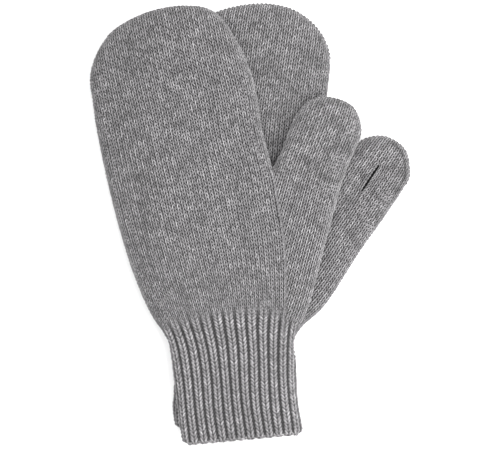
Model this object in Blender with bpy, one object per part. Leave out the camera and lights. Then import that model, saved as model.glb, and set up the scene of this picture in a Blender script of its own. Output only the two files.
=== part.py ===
"""A pair of knitted mittens with ribbed cuffs, lying flat and fanned.

The left-hand mitten lies back up on the right-hand mitten, which lies palm up.
Each mitten is knitted in sections: cuff, hand, gusset, fingers and thumb. Every
section has a back and a palm panel, a crowned half shell each, and the two meet
halfway up the side. The frame has its origin under the middle of the pair, with
+X to the thumbs, +Y to the finger tips and +Z up.
"""
import math

import bpy
import bmesh
import numpy as np
from mathutils import Vector
from mathutils.geometry import delaunay_2d_cdt

MM = 0.001

# Driving dimensions, in millimetres
THICKNESS = 11.2        # one mitten lying flat, both fabric layers and the pocket
WALL = 2.4              # one layer of knitted fabric
ROLL = 9.0              # how far in from its edge a mitten reaches full thickness
SEAM_GAP = 0.16         # half the gap between a back and a palm panel
CUT_GAP = 0.4           # half the gap between two sections
STACK = 11.5            # how high the upper mitten lies on the lower one
DRAPE_TOP = -57.0       # X where the upper mitten begins to fall off the lower one
DRAPE_FOOT = -93.0      # X where it meets the surface under it
DRAPE_CLEAR = 0.3       # what is left under it there
KNUCKLE = (86.5, 0.065)  # fold line of the fingers: Y at X = 0, and slope
WRIST = (-72.2, 0.030)  # fold line of the cuffs: Y at X = 0, and slope
RING_DEPTHS = (0.7, 2.8, 9.0)  # rings of points that follow a rounded side
EDGE_PROBE = 0.05       # how far in from an edge its direction is read
EDGE_STEP = 11.0        # distance between points along an edge
FIELD_STEP = 24.0       # distance between points inside a panel
SEAM_RADIUS = 0.55      # linking yarn at the tips
HEM_RADIUS = 1.1        # cast-off edge at the mouth
SLIT_LENGTH = 20.6
SLIT_WIDTH = 4.4
SLIT_YARN = 0.5
CLEARANCE = 0.3
JOIN_GAP = 1.8          # between the hand and the gusset
CORNER_CLEAR = 4.0      # room between the sections that meet at the crotch
STITCH_START = 5.0      # crotch stitches: where they begin and end above the crotch
STITCH_END = 12.0
TIP_STEP = 7.0          # distance between points of the linking yarn
END_CLEAR = 1.0         # curve points nearer than this to a cut are left out
SAME_PLACE = 0.02       # outline points nearer than this are one point
RING_SLACK = 0.12       # how far from its depth a ring's point may lie, as a share of it
RING_CLEAR = 0.8        # how far a ring keeps from a cut, as a share of its depth
FIELD_INSET = 4.0       # how far inside the deepest ring the wide grid begins
FIELD_CLEAR = 6.0       # and how far it keeps from a cut
OUTER_REACH = 25.0      # how far across from the crotch the thumb's outer side begins
JOIN_TRIM = 3           # steps of the join line left out below the crotch
CROTCH_CLEAR = (1.0, 0.8)  # the thumb's inner corner from the crotch: along, across

GREY = (0.245, 0.240, 0.243)
DARK_GREY = (0.150, 0.147, 0.150)
ROUGHNESS = 0.9

LEFT = {
    "name": "left",
    "up": "back",
    "down": "palm",
    "stack": STACK,
    # little-finger side from the hem, round the finger tips and down to the crotch
    "hand": [(-42.8, -137.2), (-45.4, -118), (-48.2, -95), (-51.9, -74), (-64.2, -53.6),
             (-74.8, -28.3), (-84.4, 5), (-94.2, 47), (-98.8, 75), (-100.4, 97),
             (-89.8, 118.7), (-67.4, 132.3), (-40.3, 137.4), (-20, 131.5), (-2.9, 104.3), (3.8, 83.5),
             (7.6, 60), (13.9, 35)],
    # from the crotch round the thumb and down the thumb side to the hem
    "thumb": [(13.9, 35), (20.2, 47.5), (27.5, 66), (38, 78), (50.4, 79.9), (64, 74.4),
              (69.5, 61.8), (67.2, 50.1), (58, 27.1), (46, -16.3), (37.5, -49),
              (29.0, -69), (28.2, -88), (29.1, -110), (31.9, -129.6)],
    # where the thumb's stitches meet the hand's, from the wrist up to the crotch
    "join": [(20.5, -71.6), (22.6, -40), (21.2, -8), (17.6, 15), (13.9, 35)],
    "finger_tip": ((-89.8, 118.7), (-2.9, 104.3)),
    "thumb_tip": ((27.5, 66), (67.2, 50.1)),
    "thumb_lean": 20.0,
    "slit_centre": (43.6, 50.0),
}
RIGHT = {
    "name": "right",
    "up": "palm",
    "down": "back",
    "stack": 0.0,
    "hand": [(-47.6, -127.5), (-48.8, -115), (-48.2, -98), (-50.6, -78), (-53.6, -55),
             (-55, -20), (-54.4, 25), (-52.6, 70), (-49.8, 103), (-37, 124), (-17, 135.2),
             (7.6, 138.6), (28, 134.4), (44, 121.5), (50.4, 104), (48.6, 80),
             (45.6, 50), (43, 20)],
    "thumb": [(43, 20), (53.5, 35), (66.5, 50), (76, 55.2), (87, 55), (97.1, 47.1),
              (99.9, 33.7), (97.0, 24.8), (85, 5.4), (68.8, -16.6), (47.2, -49.4),
              (30.9, -66.6), (27, -84), (26.3, -105), (27.6, -127.5)],
    "join": [(19.5, -71.7), (27, -48), (34, -25), (40, -2), (43, 20)],
    "finger_tip": ((-49.8, 103), (50.4, 104)),
    "thumb_tip": ((66.5, 50), (97.0, 24.8)),
    "thumb_lean": 33.5,
    "slit_centre": (75.7, 29.4),
}
MITTENS = (LEFT, RIGHT)


def clear_scene():
    """Remove every object that the scene holds."""
    for obj in list(bpy.data.objects):
        bpy.data.objects.remove(obj, do_unlink=True)


def new_collection(name):
    """Make a collection under the scene's own one."""
    collection = bpy.data.collections.new(name)
    bpy.context.scene.collection.children.link(collection)
    return collection


def yarn_material(name, colour):
    """Matt wool in one colour."""
    material = bpy.data.materials.new(name)
    material.use_nodes = True
    shader = material.node_tree.nodes["Principled BSDF"]
    shader.inputs["Base Color"].default_value = (*colour, 1.0)
    shader.inputs["Roughness"].default_value = ROUGHNESS
    shader.inputs["Metallic"].default_value = 0.0
    return material


# ---- plan curves -----------------------------------------------------------

def smooth_curve(points, steps=12):
    """A smooth curve through hand-set points (Catmull-Rom), as many short steps."""
    pts = np.array([points[0], *points, points[-1]], float)
    t = np.linspace(0.0, 1.0, steps, endpoint=False)[:, None]
    out = []
    for a, b, c, d in zip(pts, pts[1:], pts[2:], pts[3:]):
        out.append(0.5 * (2 * b + (c - a) * t + (2 * a - 5 * b + 4 * c - d) * t ** 2
                          + (3 * b - a - 3 * c + d) * t ** 3))
    return np.vstack([*out, pts[-1:]])


def line_height(point, line):
    """How far above a fold line a point is, in Y."""
    return point[1] - (line[0] + line[1] * point[0])


def crossing(curve, line, shift=0.0):
    """The first point where a curve crosses a fold line moved by shift in Y."""
    heights = [line_height(p, line) - shift for p in curve]
    for p, q, a, b in zip(curve, curve[1:], heights, heights[1:]):
        if a * b <= 0 and a != b:
            return p + (q - p) * (a / (a - b))
    raise ValueError("the curve does not cross the line")


def nearest(curve, point):
    """The index of the curve's point that is nearest to a given one."""
    return int(np.argmin(np.linalg.norm(curve - np.asarray(point, float), axis=1)))


def stretch(curve, start, end):
    """The part of a curve from one place to another, with those two as its ends."""
    i = nearest(curve, start)
    j = nearest(curve, end)
    inner = curve[i:j + 1] if i <= j else curve[j:i + 1][::-1]
    away = np.linalg.norm(inner - start, axis=1) > END_CLEAR
    away &= np.linalg.norm(inner - end, axis=1) > END_CLEAR
    return np.vstack([[start], inner[away], [end]])


def spaced(curve, step):
    """Points at even distances along a curve, its two ends among them."""
    runs = np.linalg.norm(np.diff(curve, axis=0), axis=1)
    along = np.concatenate([[0.0], np.cumsum(runs)])
    count = max(2, round(along[-1] / step) + 1)
    where = np.linspace(0.0, along[-1], count)
    return np.column_stack([np.interp(where, along, curve[:, k]) for k in (0, 1)])


def edge_distance(points, edges):
    """Distance from each point to several open outlines, and the nearest place."""
    points = np.atleast_2d(points)
    best = np.full(len(points), np.inf)
    place = np.array(points, float)
    for edge in edges:
        for a, b in zip(edge, edge[1:]):
            run = b - a
            t = np.clip((points - a) @ run / max(run @ run, 1e-12), 0.0, 1.0)
            foot = a + t[:, None] * run
            gap = np.linalg.norm(points - foot, axis=1)
            nearer = gap < best
            best[nearer] = gap[nearer]
            place[nearer] = foot[nearer]
    return best, place


def inside(point, polygon):
    """Whether a point lies inside a closed polygon."""
    x, y = point
    a = polygon
    b = np.roll(polygon, -1, axis=0)
    cross = (a[:, 1] > y) != (b[:, 1] > y)
    rise = np.where(b[:, 1] == a[:, 1], 1.0, b[:, 1] - a[:, 1])
    at = (b[:, 0] - a[:, 0]) * (y - a[:, 1]) / rise + a[:, 0]
    return int(np.sum(cross & (x < at))) % 2 == 1


# ---- heights ---------------------------------------------------------------

def ground(x, stack):
    """Height of what a mitten lies on: the upper one drapes off the lower one."""
    t = np.clip((x - DRAPE_FOOT) / (DRAPE_TOP - DRAPE_FOOT), 0.0, 1.0)
    rise = t * t * (3 - 2 * t)
    foot = min(DRAPE_CLEAR, stack)
    return foot + (stack - foot) * rise


def crown(depth):
    """Share of the full half thickness at a depth in from the edge."""
    t = 1.0 - np.clip(depth, 0.0, ROLL) / ROLL
    return np.sqrt(1.0 - t * t)


def layer_points(flat, inward, mitten, side):
    """Outer and inner points of a panel: the fabric's two faces, a wall apart."""
    depth, _ = edge_distance(flat, mitten["edges"])
    depth[depth < 0.01] = 0.0
    half = THICKNESS / 2
    rise = SEAM_GAP + (half - SEAM_GAP) * crown(depth)
    level = 1.0 - np.clip(depth, 0.0, ROLL) / ROLL
    normal = np.column_stack([level / ROLL, crown(depth) / half])
    normal /= np.linalg.norm(normal, axis=1)[:, None]
    inner = flat + inward * normal[:, :1] * WALL
    outer_z = ground(flat[:, 0], mitten["stack"]) + half + side * rise
    inner_z = ground(inner[:, 0], mitten["stack"]) + half
    inner_z = inner_z + side * (rise - WALL * normal[:, 1])
    return np.column_stack([flat, outer_z]), np.column_stack([inner, inner_z])


# ---- solids ----------------------------------------------------------------

def cut_points(start, end, free_start, free_end):
    """Points along a straight cut, close together by an end on a rounded side."""
    start = np.asarray(start, float)
    end = np.asarray(end, float)
    length = np.linalg.norm(end - start)
    near = [d for d in RING_DEPTHS if d < length / 2 - 1]
    first = near if free_start else []
    last = near if free_end else []
    low = first[-1] if first else 0.0
    high = length - (last[-1] if last else 0.0)
    count = max(1, round((high - low) / FIELD_STEP))
    middle = np.linspace(low, high, count + 1)[1:-1]
    at = [0.0, *first, *middle, *[length - d for d in reversed(last)], length]
    return start + np.outer(at, (end - start) / length)


def inner_directions(flat, loop, mitten):
    """For each plan point, the way in from the nearest outer edge."""
    ahead = np.roll(loop, -1, axis=0) - loop
    behind = loop - np.roll(loop, 1, axis=0)
    ahead /= np.linalg.norm(ahead, axis=1)[:, None]
    behind /= np.linalg.norm(behind, axis=1)[:, None]
    tangent = ahead + behind
    normal = np.column_stack([-tangent[:, 1], tangent[:, 0]])
    normal /= np.linalg.norm(normal, axis=1)[:, None]
    if polygon_area(loop) < 0:
        normal = -normal
    moved = np.array(flat)
    moved[:len(loop)] += EDGE_PROBE * normal
    depth, place = edge_distance(moved, mitten["edges"])
    return (moved - place) / depth[:, None]


def polygon_area(loop):
    """Signed area of a closed polygon, positive when it runs anticlockwise."""
    x, y = loop.T
    return 0.5 * float(np.sum(x * np.roll(y, -1) - np.roll(x, -1) * y))


def field_points(loop, free, mitten):
    """Points inside a panel: rings along its rounded sides, and a wide grid."""
    inner = []
    for edge in free:
        pts = spaced(edge, EDGE_STEP)
        tangent = np.gradient(pts, axis=0)
        normal = np.column_stack([-tangent[:, 1], tangent[:, 0]])
        normal /= np.linalg.norm(normal, axis=1)[:, None]
        for depth in RING_DEPTHS:
            for sign in (-1, 1):
                inner.extend(pts[1:-1] + sign * depth * normal[1:-1])
    low = loop.min(axis=0)
    high = loop.max(axis=0)
    for x in np.arange(low[0] + FIELD_STEP / 2, high[0], FIELD_STEP):
        for y in np.arange(low[1] + FIELD_STEP / 2, high[1], FIELD_STEP):
            inner.append((x, y))
    inner = np.array(inner)
    depths, _ = edge_distance(inner, mitten["edges"])
    rims, _ = edge_distance(inner, [np.vstack([loop, loop[:1]])])
    chosen = []
    for point, depth, away in zip(inner, depths, rims):
        ring = min(RING_DEPTHS, key=lambda d: abs(d - depth))
        on_ring = abs(ring - depth) < RING_SLACK * ring and away > RING_CLEAR * ring
        in_field = depth > ROLL + FIELD_INSET and away > FIELD_CLEAR
        if (on_ring or in_field) and inside(point, loop):
            chosen.append(point)
    return chosen


def panel_mesh(name, loop, free, mitten, side):
    """A crowned half shell over a closed plan outline, open towards the pocket.

    Both faces are placed along the true normal of the rounded side, so that the
    back and palm panels meet in a level plane halfway up.
    """
    loop = np.array(loop)
    loop = loop[np.linalg.norm(loop - np.roll(loop, 1, axis=0), axis=1) > SAME_PLACE]
    chosen = field_points(loop, free, mitten)
    verts = [Vector(p) for p in (*loop, *chosen)]
    edges = [(i, (i + 1) % len(loop)) for i in range(len(loop))]
    out = delaunay_2d_cdt(verts, edges, [], 1, 1e-4)
    flat = np.array([tuple(v) for v in out[0]])
    inward = inner_directions(flat, loop, mitten)
    outer, inner = layer_points(flat, inward, mitten, side)
    bm = bmesh.new()
    top = [bm.verts.new(p * MM) for p in outer]
    bottom = [bm.verts.new(p * MM) for p in inner]
    for a, b, c in out[2]:
        bm.faces.new((top[a], top[b], top[c]))
        bm.faces.new((bottom[c], bottom[b], bottom[a]))
    for i in range(len(loop)):
        j = (i + 1) % len(loop)
        bm.faces.new((top[i], top[j], bottom[j], bottom[i]))
    bmesh.ops.recalc_face_normals(bm, faces=bm.faces)
    mesh = bpy.data.meshes.new(name)
    bm.to_mesh(mesh)
    bm.free()
    return mesh


def add_panel(name, loop, free, mitten, side, material, collection):
    """One fabric panel."""
    obj = bpy.data.objects.new(name, panel_mesh(name, loop, free, mitten, side))
    obj.data.materials.append(material)
    collection.objects.link(obj)
    return obj


def add_cord(name, points, radius, closed, material, collection):
    """A yarn as a round tube along a list of points."""
    curve = bpy.data.curves.new(name, "CURVE")
    curve.dimensions = "3D"
    curve.bevel_depth = radius * MM
    curve.bevel_resolution = 2
    curve.use_fill_caps = not closed
    spline = curve.splines.new("POLY")
    spline.points.add(len(points) - 1)
    for slot, point in zip(spline.points, points):
        slot.co = (*(c * MM for c in point), 1.0)
    spline.use_cyclic_u = closed
    curve.materials.append(material)
    obj = bpy.data.objects.new(name, curve)
    collection.objects.link(obj)
    return obj


# ---- one mitten ------------------------------------------------------------

def thumb_axes(mitten):
    """Unit vectors along the thumb and across it, away from the hand."""
    lean = math.radians(mitten["thumb_lean"])
    along = np.array([math.sin(lean), math.cos(lean)])
    across = np.array([math.cos(lean), -math.sin(lean)])
    return along, across


def root_point(mitten, shift):
    """Where the thumb's root line, moved along the thumb, meets its outer side."""
    along, across = thumb_axes(mitten)
    crotch = mitten["thumb_edge"][0]
    offsets = (mitten["thumb_edge"] - crotch) @ along - shift
    reach = (mitten["thumb_edge"] - crotch) @ across
    for i in range(len(offsets) - 1):
        if reach[i] > OUTER_REACH and offsets[i] * offsets[i + 1] <= 0:
            share = offsets[i] / (offsets[i] - offsets[i + 1])
            a, b = mitten["thumb_edge"][i:i + 2]
            return a + (b - a) * share
    raise ValueError("the root line does not meet the thumb's outer side")


def section_loops(mitten):
    """Plan outline and free edges of each section of a mitten."""
    hand = mitten["hand_edge"]
    thumb = mitten["thumb_edge"]
    join = mitten["join_line"]
    along, across = thumb_axes(mitten)
    crotch = thumb[0]

    tip_left = crossing(hand, KNUCKLE, CUT_GAP)
    tip_right = crossing(hand[::-1], KNUCKLE, CUT_GAP)
    finger_edge = stretch(hand, tip_left, tip_right)
    fingers = [*spaced(finger_edge, EDGE_STEP), *cut_points(tip_right, tip_left, True, True)]

    knuckle_left = crossing(hand, KNUCKLE, -CUT_GAP)
    knuckle_right = crossing(hand[::-1], KNUCKLE, -CUT_GAP)
    wrist_left = crossing(hand, WRIST, CUT_GAP)
    wrist_join = crossing(join, WRIST, CUT_GAP)
    outer_edge = stretch(hand, wrist_left, knuckle_left)
    inner_edge = stretch(hand, knuckle_right, crotch)
    join_up = stretch(join, wrist_join, crotch)
    palm = [*spaced(outer_edge, EDGE_STEP),
            *cut_points(knuckle_left, knuckle_right, True, True),
            *spaced(inner_edge, EDGE_STEP),
            *spaced(join_up[::-1], EDGE_STEP),
            *cut_points(wrist_join, wrist_left, False, True)]

    step = np.array([JOIN_GAP, 0.0])
    root_low = root_point(mitten, -CUT_GAP)
    wrist_right = crossing(thumb[::-1], WRIST, CUT_GAP)
    side_edge = stretch(thumb, root_low, wrist_right)
    start = crotch + across * CORNER_CLEAR - along * CUT_GAP
    gusset = [*spaced(join_up[:-JOIN_TRIM] + step, EDGE_STEP),
              *cut_points(start, root_low, False, True),
              *spaced(side_edge, EDGE_STEP),
              *cut_points(wrist_right, wrist_join + step, True, False)]

    root_high = root_point(mitten, CUT_GAP)
    corner = crotch + along * CROTCH_CLEAR[0] + across * CROTCH_CLEAR[1]
    first = thumb[nearest(thumb, crotch + (thumb[12] - crotch) * 0.5)]
    thumb_side = np.vstack([[corner], stretch(thumb, first, root_high)])
    thumb_loop = [*spaced(thumb_side, EDGE_STEP),
                  *cut_points(root_high, corner, True, True)]

    cuff_left = crossing(hand, WRIST, -CUT_GAP)
    cuff_right = crossing(thumb[::-1], WRIST, -CUT_GAP)
    cuff_outer = stretch(hand, hand[0], cuff_left)
    cuff_inner = stretch(thumb, cuff_right, thumb[-1])
    cuff = [*spaced(cuff_outer, EDGE_STEP),
            *cut_points(cuff_left, cuff_right, True, True),
            *spaced(cuff_inner, EDGE_STEP),
            *cut_points(thumb[-1], hand[0], True, True)]
    return {
        "finger": (fingers, [finger_edge]),
        "hand": (palm, [outer_edge, inner_edge]),
        "gusset": (gusset, [side_edge]),
        "thumb": (thumb_loop, [thumb_side]),
        "cuff": (cuff, [cuff_outer, cuff_inner]),
    }


def cut_slit(panel, mitten, cutters):
    """The slot in the palm side of the thumb that lets the thumb tip out."""
    x, y = mitten["slit_centre"]
    bpy.ops.mesh.primitive_cube_add(size=1.0)
    cutter = bpy.context.object
    cutter.name = mitten["name"] + "_slit_cutter"
    level = mitten["stack"] + (THICKNESS if mitten["up"] == "palm" else 0.0)
    cutter.scale = (SLIT_WIDTH * MM, SLIT_LENGTH * MM, 4 * WALL * MM)
    cutter.location = (x * MM, y * MM, level * MM)
    cutter.rotation_euler = (0.0, 0.0, -math.radians(mitten["thumb_lean"]))
    cutter.hide_render = True
    cutter.display_type = "WIRE"
    for collection in list(cutter.users_collection):
        collection.objects.unlink(cutter)
    cutters.objects.link(cutter)
    cut = panel.modifiers.new("slit", "BOOLEAN")
    cut.operation = "DIFFERENCE"
    cut.solver = "EXACT"
    cut.object = cutter


def slit_edging(mitten):
    """Points of the cast-off yarn round the inside of the slit."""
    along, across = thumb_axes(mitten)
    centre = np.array(mitten["slit_centre"])
    inset = CLEARANCE + SLIT_YARN
    half_long = SLIT_LENGTH / 2 - inset
    half_wide = SLIT_WIDTH / 2 - inset
    top = mitten["up"] == "palm"
    level = mitten["stack"] + (THICKNESS - WALL / 2 if top else WALL / 2)
    corners = [(-1, -1), (-1, 1), (1, 1), (1, -1)]
    points = []
    for (u0, v0), (u1, v1) in zip(corners, corners[1:] + corners[:1]):
        for t in (0.12, 0.5, 0.88) if v0 != v1 else (0.3, 0.7):
            u = (u0 + (u1 - u0) * t) * half_wide
            v = (v0 + (v1 - v0) * t) * half_long
            points.append((*(centre + across * u + along * v), level))
    return points


def offset_out(curve, amount, inner_point):
    """A curve moved sideways, away from a point inside the mitten."""
    tangent = np.gradient(curve, axis=0)
    normal = np.column_stack([-tangent[:, 1], tangent[:, 0]])
    normal /= np.linalg.norm(normal, axis=1)[:, None]
    outward = np.sign(np.sum(normal * (curve - inner_point), axis=1))
    return curve + normal * outward[:, None] * amount


def tip_seam(mitten, edge, ends, centre):
    """Points of the linking yarn round a tip, just outside the panels."""
    run = spaced(stretch(edge, np.array(ends[0]), np.array(ends[1])), TIP_STEP)
    run = offset_out(run, SEAM_RADIUS + CLEARANCE, np.array(centre))
    level = ground(run[:, 0], mitten["stack"]) + THICKNESS / 2
    return np.column_stack([run, level])


def hem_ring(mitten):
    """Points of the cast-off edge round the mouth of the cuff."""
    left = mitten["hand_edge"][0]
    right = mitten["thumb_edge"][-1]
    length = np.linalg.norm(right - left)
    run = (right - left) / length
    below = np.array([run[1], -run[0]])
    half_high = THICKNESS / 2 - WALL / 2
    half_wide = ROLL - WALL / 2
    points = []
    for end in (-1, 1):
        for angle in np.radians(np.linspace(-90, 90, 7)):
            reach = half_wide * math.cos(angle)
            at = ROLL - reach if end < 0 else length - ROLL + reach
            high = math.sin(angle) * half_high * (1 if end < 0 else -1)
            spot = left + run * at + below * (HEM_RADIUS + CLEARANCE)
            level = ground(spot[0], mitten["stack"]) + THICKNESS / 2 + high
            points.append((*spot, level))
    return points


def crotch_stitches(mitten):
    """Points of the closing stitches on the hand's edge above the crotch."""
    edge = mitten["hand_edge"][::-1]
    runs = np.linalg.norm(np.diff(edge, axis=0), axis=1)
    along = np.concatenate([[0.0], np.cumsum(runs)])
    where = np.linspace(STITCH_START, STITCH_END, 5)
    run = np.column_stack([np.interp(where, along, edge[:, k]) for k in (0, 1)])
    run = run + np.array([SEAM_RADIUS + CLEARANCE, 0.15])
    level = mitten["stack"] + THICKNESS / 2
    return np.column_stack([run, np.full(len(run), level)])


def build_mitten(mitten, wool, edging, collection, cutters):
    """All the pieces of one mitten."""
    mitten["hand_edge"] = smooth_curve(mitten["hand"])
    mitten["thumb_edge"] = smooth_curve(mitten["thumb"])
    mitten["join_line"] = smooth_curve(mitten["join"])
    mitten["edges"] = [mitten["hand_edge"], mitten["thumb_edge"]]
    prefix = mitten["name"]
    for section, (loop, free) in section_loops(mitten).items():
        for side, face in ((1, mitten["up"]), (-1, mitten["down"])):
            name = f"{prefix}_{section}_{face}"
            panel = add_panel(name, loop, free, mitten, side, wool, collection)
            if section == "thumb" and face == "palm":
                cut_slit(panel, mitten, cutters)
    middle = np.mean(mitten["finger_tip"], axis=0) - np.array([0.0, 30.0])
    cords = {
        "finger_tip_seam": tip_seam(mitten, mitten["hand_edge"], mitten["finger_tip"], middle),
        "thumb_tip_seam": tip_seam(mitten, mitten["thumb_edge"], mitten["thumb_tip"],
                                   mitten["slit_centre"]),
        "crotch_stitches": crotch_stitches(mitten),
    }
    for name, points in cords.items():
        add_cord(f"{prefix}_{name}", points, SEAM_RADIUS, False, edging, collection)
    add_cord(f"{prefix}_cuff_hem", hem_ring(mitten), HEM_RADIUS, True, edging, collection)
    add_cord(f"{prefix}_slit_edging", slit_edging(mitten), SLIT_YARN, True, edging, collection)


def main():
    clear_scene()
    collection = new_collection("knitted_mittens")
    cutters = new_collection("cutters")
    wool = yarn_material("grey_melange_wool", GREY)
    edging = yarn_material("grey_linking_yarn", DARK_GREY)
    for mitten in MITTENS:
        build_mitten(mitten, wool, edging, collection, cutters)


main()
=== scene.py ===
"""The looks of a pair of knitted mittens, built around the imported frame.

Each panel of the frame becomes knitted fabric: a dense shell over the same plan
outline, whose outer face carries every stitch as real relief. Positions across
the wales and along the courses come from a few guide curves in each mitten, so
stitches run through from cuff to tip and are cut by the linked edges.
"""
import math

import bpy
import numpy as np
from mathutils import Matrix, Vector


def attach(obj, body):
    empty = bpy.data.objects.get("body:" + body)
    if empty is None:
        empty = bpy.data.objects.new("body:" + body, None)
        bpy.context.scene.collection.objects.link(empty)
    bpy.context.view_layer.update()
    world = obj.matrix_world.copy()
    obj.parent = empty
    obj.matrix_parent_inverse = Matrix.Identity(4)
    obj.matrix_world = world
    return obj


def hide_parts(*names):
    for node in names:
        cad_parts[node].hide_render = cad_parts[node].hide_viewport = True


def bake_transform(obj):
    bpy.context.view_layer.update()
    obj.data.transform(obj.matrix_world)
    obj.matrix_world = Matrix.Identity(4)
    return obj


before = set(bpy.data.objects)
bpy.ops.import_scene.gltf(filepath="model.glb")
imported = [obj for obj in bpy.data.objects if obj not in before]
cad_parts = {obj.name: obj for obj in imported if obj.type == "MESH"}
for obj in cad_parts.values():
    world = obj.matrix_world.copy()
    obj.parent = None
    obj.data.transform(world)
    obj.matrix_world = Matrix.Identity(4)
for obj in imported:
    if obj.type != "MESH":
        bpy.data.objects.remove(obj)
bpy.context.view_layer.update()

MM = 0.001

# The frame's own dimensions, in millimetres, as the part's source has them
THICKNESS = 11.2        # one mitten lying flat
ROLL = 9.0              # how far in from its edge a mitten reaches full thickness
STACK = 11.5            # how high the upper mitten lies on the lower one
DRAPE_TOP = -57.0       # X where the upper mitten begins to fall off the lower one
DRAPE_FOOT = -93.0      # X where it meets the surface under it
DRAPE_CLEAR = 0.3       # what is left under it there
KNUCKLE = (86.5, 0.065)  # fold line of the fingers: Y at X = 0, and slope
WRIST = (-72.2, 0.030)  # fold line of the cuffs: Y at X = 0, and slope

# The knitting, in millimetres
COURSE = 2.3            # height of a row of stitches
RIB_COURSE = 2.45       # height of a row in the cuff
RIBS = 13
RIB_MARGIN = 1.0        # how far the first and last rib's sides lie beyond their guide curves
RIB_FADE = (-2.0, 11.0)  # where rib turns into plain knitting, from the cuff's arc
HAND_WALES = 33
THUMB_WALES = 14
THUMB_SPAN = 43.4       # width of the thumb's band of wales
STITCH_RELIEF = 0.95    # from the bottom of a crevice to the top of a stitch
RIB_RELIEF = 2.1
WALL = 1.7              # fabric left under the deepest crevice, with the relief
CUFF_WALL = 2.8
EDGE_GROWTH = 0.15      # how far a rolled edge is drawn in, so its stitches meet the outline

# One stitch, in shares of its wale and course
PLAIN_LEG = (0.64, 0.88, 1.05, 0.45)  # width, length, slant, groove between columns
RIB_LEG = (0.62, 0.78, 0.95, 0.25)
LEG_NUDGE = 0.12        # how unevenly the legs are placed
LEG_SPREAD = 0.3        # how unevenly high they are
LEG_TILT = 0.10         # how much higher a leg's upper end is
STREAK = 0.38           # how much of a stitch's shade comes from its course's yarn
RIB_WIDTH = 0.865       # a rib's share of its pitch
RIB_DOME = 0.42         # how much of a rib's relief is its round back
PURL_LEVEL = 0.28       # relief of the valleys between the ribs
PURL_BUMP = 0.16        # and of the purl loops in them
PURL_WIDTH = 0.24
WANDER = (0.08, 0.20)   # how far wales and courses stray, in stitches

# Edges and trims, in millimetres
CREASE = 0.9            # half width of the line where hand and thumb meet
CREASE_LEVEL = (-0.35, 0.6)  # relief, and height, which sets the painted shade along that line
SEAM_DENT = (3.4, 1.1, 0.6, 0.3)  # beside a tip: depth in, width, relief, painted shade in the dent
SCALLOP = 1.3           # how far each rib ends beyond the purl valleys
SCALLOP_FADE = 3.0
CORNER = 3.0            # radius of the hem's two corners
HEM_ROUND = (1.3, 1.6)  # depth and reach of the rounding inside the hem
HEM_INSIDE = 0.72       # relief on the hem's inner face
SLIT_LENGTH = 22.0
SLIT_OPEN = 0.95        # half the slit's width
SLIT_REACH = 7.0        # how far from the slit its stitches are pushed aside
TOOTH = 2.6             # spacing of the linking yarn's turns round a tip
OUTER_REACH = 25.0      # how far across from the crotch the thumb's outer side begins
FOLD_REACH = 22.0       # reach beyond a fold line, returned with the fold; nothing bends by it
THUMB_REACH = 18.0      # and beyond the thumb's root

# The looks
DARK_FIBRE = (0.0625, 0.0608, 0.0625)
MIDDLE_FIBRE = (0.243, 0.236, 0.243)
LIGHT_FIBRE = (0.583, 0.5695, 0.583)
# painted shade: the colour that the crevice ramp multiplies into the wool deep between stitches
PAINTED_CREVICE_SHADE = (0.03, 0.029, 0.03)
CREVICE_SHADE_START = 0.27    # stitch height at which the painted crevice shade is darkest
FLOOR_LEVEL = -0.3      # millimetres
FLOOR_SIZE = 3000.0
FLOOR_WHITE = 0.93
CAMERA_HEIGHT = 3.0     # metres
VIEW_WIDTH = 0.315      # metres across the picture, at VIEW_LEVEL
VIEW_LEVEL = 0.008
SENSOR = 36.0
SURROUND = 1.18         # brightness of the white surround
LAMPS = (("key", (0.50, 0.10, 0.66), 12.5, 1.0),  # name, place, watts, size
         ("fill", (-0.3, -0.2, 1.5), 10.0, 1.4))

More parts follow.
